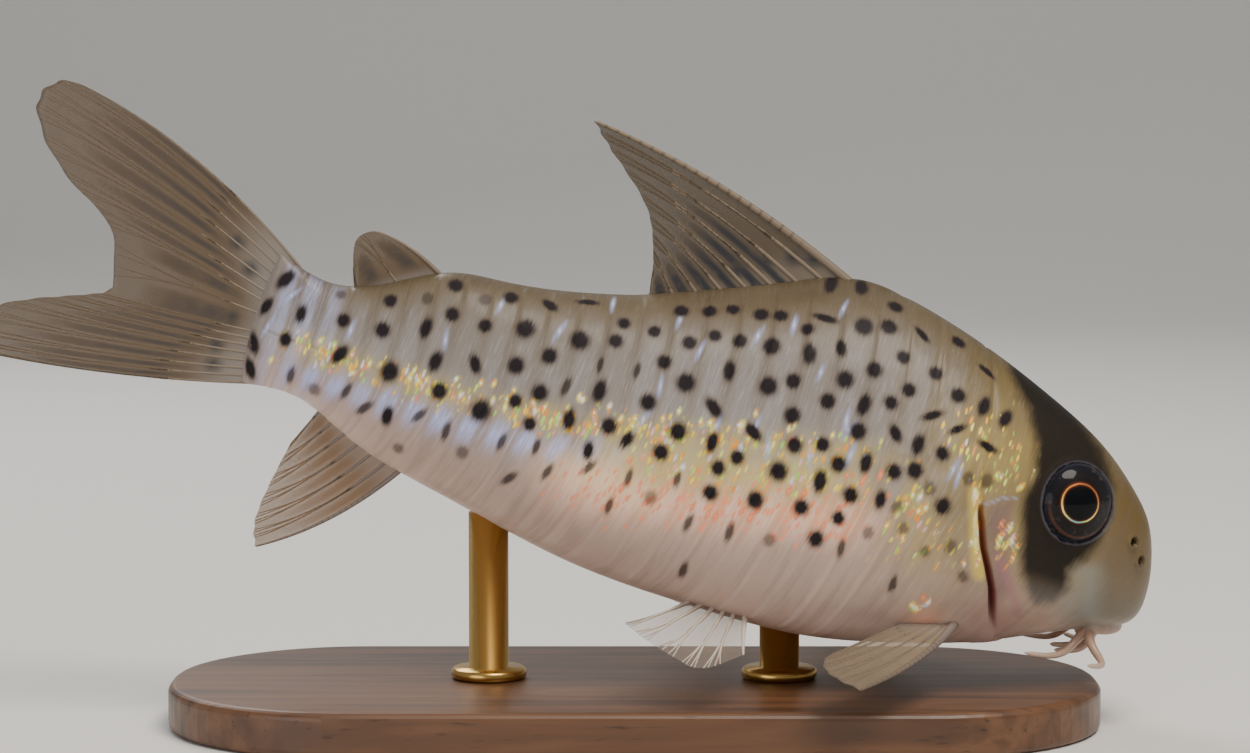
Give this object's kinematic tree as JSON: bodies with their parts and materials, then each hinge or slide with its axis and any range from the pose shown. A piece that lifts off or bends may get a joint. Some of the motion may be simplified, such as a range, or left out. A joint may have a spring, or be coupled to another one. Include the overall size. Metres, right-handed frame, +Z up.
{
  "type": "corydoras catfish",
  "caption": "Still, life-size model of a small spotted armoured catfish with a dark eye mask, nosing downwards on a low display stand.",
  "frame": {"origin": "centre of the stand base's underside, where the model rests", "axes": "+X from the tail towards the head, +Y towards the fish's left side, +Z up"},
  "size_m": [0.0538, 0.0232, 0.0291],
  "materials": {
    "skin": "wet satin, spotted",
    "fin": "translucent, satin",
    "eye": "clear gloss",
    "stand_wood": "oiled",
    "stand_brass": "brushed"
  },
  "bodies": {
    "root": {"adipose_fin": "fin", "anal_fin": "fin", "barbel_chin_left": "skin", "barbel_chin_right": "skin", "barbel_lower_left": "skin", "barbel_lower_right": "skin", "barbel_upper_left": "skin", "barbel_upper_right": "skin", "caudal_fin_lower": "fin", "caudal_fin_upper": "fin", "dorsal_fin": "fin", "eye_left": "eye", "eye_right": "eye", "head": "skin", "pectoral_fin_left": "fin", "pectoral_fin_right": "fin", "pelvic_fin_left": "fin", "pelvic_fin_right": "fin", "stand_base": "stand_wood", "stand_rod_front": "stand_brass", "stand_rod_rear": "stand_brass", "tail_stem": "skin", "trunk": "skin"}
  },
  "joints": []
}
